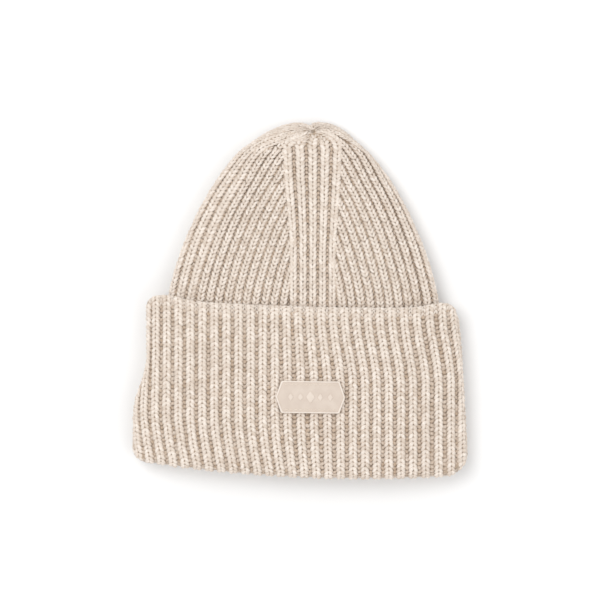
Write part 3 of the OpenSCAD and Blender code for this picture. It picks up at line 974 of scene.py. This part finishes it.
def loft(name, rings, material, closed=False):
    """Solid through rings of points, capped at both ends, or closed on itself like a tyre."""
    m, n = len(rings), len(rings[0])
    idx = np.arange(m * n).reshape(m, n)
    if closed:
        idx = np.concatenate([idx, idx[:1]])
    nxt = np.roll(idx, -1, 1)
    quads = faces(idx[:-1], nxt[:-1], nxt[1:], idx[1:])
    caps = [] if closed else [idx[0][::-1], idx[-1]]
    loops = np.concatenate([quads.ravel()] + caps)
    totals = np.concatenate([np.full(len(quads), 4), [n] * len(caps)]).astype(int)
    return add_object(name, raw_mesh(name, np.concatenate(rings), loops, totals), material)


def on_patch(points):
    """From the patch's own plane to the hat."""
    low, high = np.array(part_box("patch_base"))
    turn = math.radians(-0.7)
    x, y, z = points.T
    return np.stack([
        (low[0] + high[0]) / 2 + x * math.cos(turn) - y * math.sin(turn),
        (low[1] + high[1]) / 2 + x * math.sin(turn) + y * math.cos(turn),
        low[2] + z], 1)


def build_patch():
    low, high = np.array(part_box("patch_base"))
    w, d = (high[0] - low[0]) / 2, (high[1] - low[1]) / 2 - 0.2 * MM
    plate, rim = high[2] - low[2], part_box("patch_rim")[1][2] - high[2]
    shoulder = 3.6 * MM

    def ring(inset, z):
        outline = hexagon(w - 1.12 * inset, d - inset, shoulder)
        return on_patch(np.column_stack([outline, np.full(len(outline), z)]))

    profile = [(0.5 * MM, -0.4 * MM), (0.1 * MM, -0.2 * MM), (0, 0.2 * MM), (0, plate - 0.3 * MM),
               (0.1 * MM, plate - 0.08 * MM), (0.3 * MM, plate)]
    base = loft("patch_plate", [ring(inset, z) for inset, z in profile], SILICONE)
    bead = [(0.08 * MM, plate - 0.2 * MM), (0.1 * MM, plate + 0.6 * rim), (0.25 * MM, plate + 0.9 * rim),
            (0.42 * MM, plate + rim), (0.62 * MM, plate + rim), (0.8 * MM, plate + 0.85 * rim),
            (0.92 * MM, plate + 0.4 * rim), (0.96 * MM, plate - 0.2 * MM)]
    # the bead takes the lighter silicone: painted highlight
    edge = loft("patch_bead", [ring(inset, z) for inset, z in bead], SILICONE_RIM_LIT, closed=True)
    for piece, node in ((base, "patch_base"), (edge, "patch_rim")):
        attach(piece, FLAP)
        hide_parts(node)


def lozenge(x, half_w, half_h, z0, h):
    """Rings of a raised lozenge with blunt corners and a rounded top."""
    rings = []
    for grow, z in ((1.0, -0.1 * MM), (1.0, h * 0.55), (0.90, h * 0.9), (0.78, h)):
        corners = np.array([(half_w, 0), (0, half_h), (-half_w, 0), (0, -half_h)]) * grow
        fine = []
        for k in range(4):
            a, b, c = corners[k - 1], corners[k], corners[(k + 1) % 4]
            for t in (0.0, 0.5, 1.0):
                p, q = lerp(b, a, 0.14), lerp(b, c, 0.14)
                fine.append((1 - t) ** 2 * p + 2 * t * (1 - t) * b + t * t * q)
        fine = np.array(fine)
        rings.append(on_patch(np.column_stack([fine[:, 0] + x, fine[:, 1], np.full(len(fine), z0 + z)])))
    return rings


def join(name, pieces):
    """One object from several."""
    bpy.ops.object.select_all(action="DESELECT")
    for piece in pieces:
        piece.select_set(True)
    bpy.context.view_layer.objects.active = pieces[0]
    bpy.ops.object.join()
    pieces[0].name = name
    return pieces[0]


def build_emblem():
    low, high = np.array(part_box("patch_base"))
    plate = high[2] - low[2]
    emblem_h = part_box("patch_emblem")[1][2] - high[2]
    pitch = 6.4 * MM
    made = []
    for i in range(-2, 3):
        size = (4.2 if i == 0 else 2.6) * MM
        rings = lozenge(i * pitch, size * 0.72, size, plate, emblem_h)
        # the lozenges take the lighter silicone: painted highlight
        made.append(loft(f"lozenge_{i + 2}", rings, SILICONE_MARK_LIT))
    emblem = join("patch_emblem_lozenges", made)
    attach(emblem, FLAP)
    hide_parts("patch_emblem")


def capsule_rings(a, b, r, sides=8):
    """Rings of a short thread from a to b that dips at both ends."""
    t = np.linspace(0, 1, 7)
    axis = (b - a) / np.linalg.norm(b - a)
    side = np.cross([0, 0, 1.0], axis)
    up = np.cross(axis, side)
    theta = np.arange(sides) / sides * 2 * math.pi
    rings = []
    for k in t:
        middle = lerp(a, b, k) - np.array([0, 0, 1]) * 0.28 * MM * (2 * k - 1) ** 4
        radius = r * (0.45 + 0.55 * math.sin(math.pi * (0.1 + 0.8 * k)) ** 0.6)
        rings.append(middle + radius * (np.cos(theta)[:, None] * side + np.sin(theta)[:, None] * up))
    return rings


def build_stitches():
    low, high = np.array(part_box("patch_base"))
    plate = high[2] - low[2]
    depth = (high[1] - low[1]) / 2 - 0.25 * MM
    count, pitch, length, inset, r = 11, 3.1 * MM, 2.1 * MM, 2.3 * MM, 0.3 * MM
    made = []
    for side in (-1, 1):
        for i in range(count):
            x = (i - (count - 1) / 2) * pitch
            y, z = side * (depth - inset), plate + r * 0.6
            a, b = on_patch(np.array([(x - length / 2, y, z), (x + length / 2, y, z)]))
            made.append(loft(f"thread_{side}_{i}", capsule_rings(a, b, r), THREAD))
    stitches = join("patch_thread", made)
    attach(stitches, FLAP)
    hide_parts("patch_stitches")


def build_label():
    """Blank tape, folded double: one strip that goes out along the band and comes back on itself."""
    low, high = np.array(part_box("care_label"))
    width, length = high[0] - low[0], high[1] - low[1]
    radius = 0.45 * MM
    z = low[2] + 0.35 * MM
    path = [(y, z) for y in np.linspace(high[1], low[1] + radius, 8)]
    path += [(low[1] + radius - radius * math.sin(f), z + radius - radius * math.cos(f))
             for f in np.linspace(0, math.pi, 8)[1:-1]]
    path += [(y, z + 2 * radius + 0.25 * MM * math.sin(math.pi * k / 7)) for k, y in
             enumerate(np.linspace(low[1] + radius, high[1], 8))]
    xs = np.linspace(low[0], low[0] + width, 13)
    path = np.array(path)
    verts = np.array([(x, y, zz) for y, zz in path for x in xs])
    idx = np.arange(len(verts)).reshape(len(path), len(xs))
    quads = faces(idx[:-1, :-1], idx[:-1, 1:], idx[1:, 1:], idx[1:, :-1])
    mesh = raw_mesh("care_label_tape", verts, quads.ravel(), np.full(len(quads), 4))
    label = add_object("care_label_tape", mesh, TAPE)
    solid = label.modifiers.new("thickness", "SOLIDIFY")
    solid.thickness = 0.2 * MM
    solid.offset = 0
    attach(label, BODY)
    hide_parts("care_label")
    made = []
    for i in range(6):
        x = (low[0] + high[0]) / 2 + (i - 2.5) * 3.4 * MM
        a = np.array([x - 1.1 * MM, high[1] - 2 * MM, z + 2 * radius + 0.25 * MM])
        made.append(loft(f"label_thread_{i}", capsule_rings(a, a + [2.2 * MM, 0, 0], 0.25 * MM), THREAD))
    stitches = join("care_label_thread", made)
    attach(stitches, BODY)
    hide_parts("care_label_stitches")


def build_closing_yarn():
    """The yarn that gathers the tip and its knot, both inside the hat."""
    low, high = np.array(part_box("closing_yarn"))
    radius = (high[0] - low[0] - 3.6 * MM) / 2
    middle = np.array([low[0] + radius, (low[1] + high[1]) / 2, (low[2] + high[2]) / 2])
    turns = []
    for f in np.linspace(0, 2 * math.pi, 49):
        out = np.array([math.cos(f), 0, math.sin(f)])
        ring = np.linspace(0, 2 * math.pi, 11)[:-1]
        centre = middle + out * (radius - 1.1 * MM)
        turns.append(centre + 1.05 * MM * (np.cos(ring)[:, None] * out + np.sin(ring)[:, None] * [0, 1, 0]))
    loop = loft("closing_loop", turns, THREAD)
    knot = middle + [radius + 1.5 * MM, 0, 0]
    wraps = [loop]
    for k, tilt in enumerate((-0.7, 0.1, 0.9)):
        axis = np.array([math.sin(tilt), 0.35 * (k - 1), math.cos(tilt)])
        axis /= np.linalg.norm(axis)
        rings = capsule_rings(knot - axis * 1.5 * MM, knot + axis * 1.5 * MM, 0.8 * MM)
        wraps.append(loft(f"knot_wrap_{k}", rings, THREAD))
    yarn = join("closing_yarn_loop", wraps)
    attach(yarn, BODY)
    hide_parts("closing_yarn")


# ---------------------------------------------------------------- floor, light, camera
def build_stage():
    bpy.ops.mesh.primitive_plane_add(size=6, location=(0, 0, 0))
    floor = bpy.context.active_object
    floor.name = "floor"
    material, _, _, shader = new_material("floor_paint")
    shader.inputs["Base Color"].default_value = (0.93, 0.93, 0.93, 1)
    shader.inputs["Roughness"].default_value = 0.9
    floor.data.materials.append(material)

    world = bpy.data.worlds.new("studio")
    world.use_nodes = True
    world.node_tree.nodes["Background"].inputs["Color"].default_value = (1, 1, 1, 1)
    world.node_tree.nodes["Background"].inputs["Strength"].default_value = 0.75
    bpy.context.scene.world = world
    lights = (("key", (-0.5, 0.3, 1.45), 0.9, 9.9), ("fill", (0.8, -0.4, 1.3), 1.2, 4.0))
    for name, place, size, power in lights:
        light = bpy.data.lights.new(name, "AREA")
        light.size = size
        light.energy = power
        lamp = bpy.data.objects.new(name, light)
        lamp.location = place
        lamp.rotation_euler = aim(place, (0, 0, 0))
        bpy.context.scene.collection.objects.link(lamp)


def aim(place, target):
    return (Vector(target) - Vector(place)).to_track_quat("-Z", "Y").to_euler()


def build_camera():
    view_w, distance = 390 * MM, 2.4
    camera = bpy.data.cameras.new("camera")
    camera.sensor_width = 36
    camera.lens = 36 * (distance - CUFF_H / 2) / view_w
    camera.dof.use_dof = False
    eye = bpy.data.objects.new("camera", camera)
    eye.location = (0, 0, distance)
    bpy.context.scene.collection.objects.link(eye)
    bpy.context.scene.camera = eye
    bpy.context.scene.view_settings.view_transform = "Standard"


build_camera()
build_stage()
build_turn_up()
build_crown()
build_patch()
build_emblem()
build_stitches()
build_label()
build_closing_yarn()
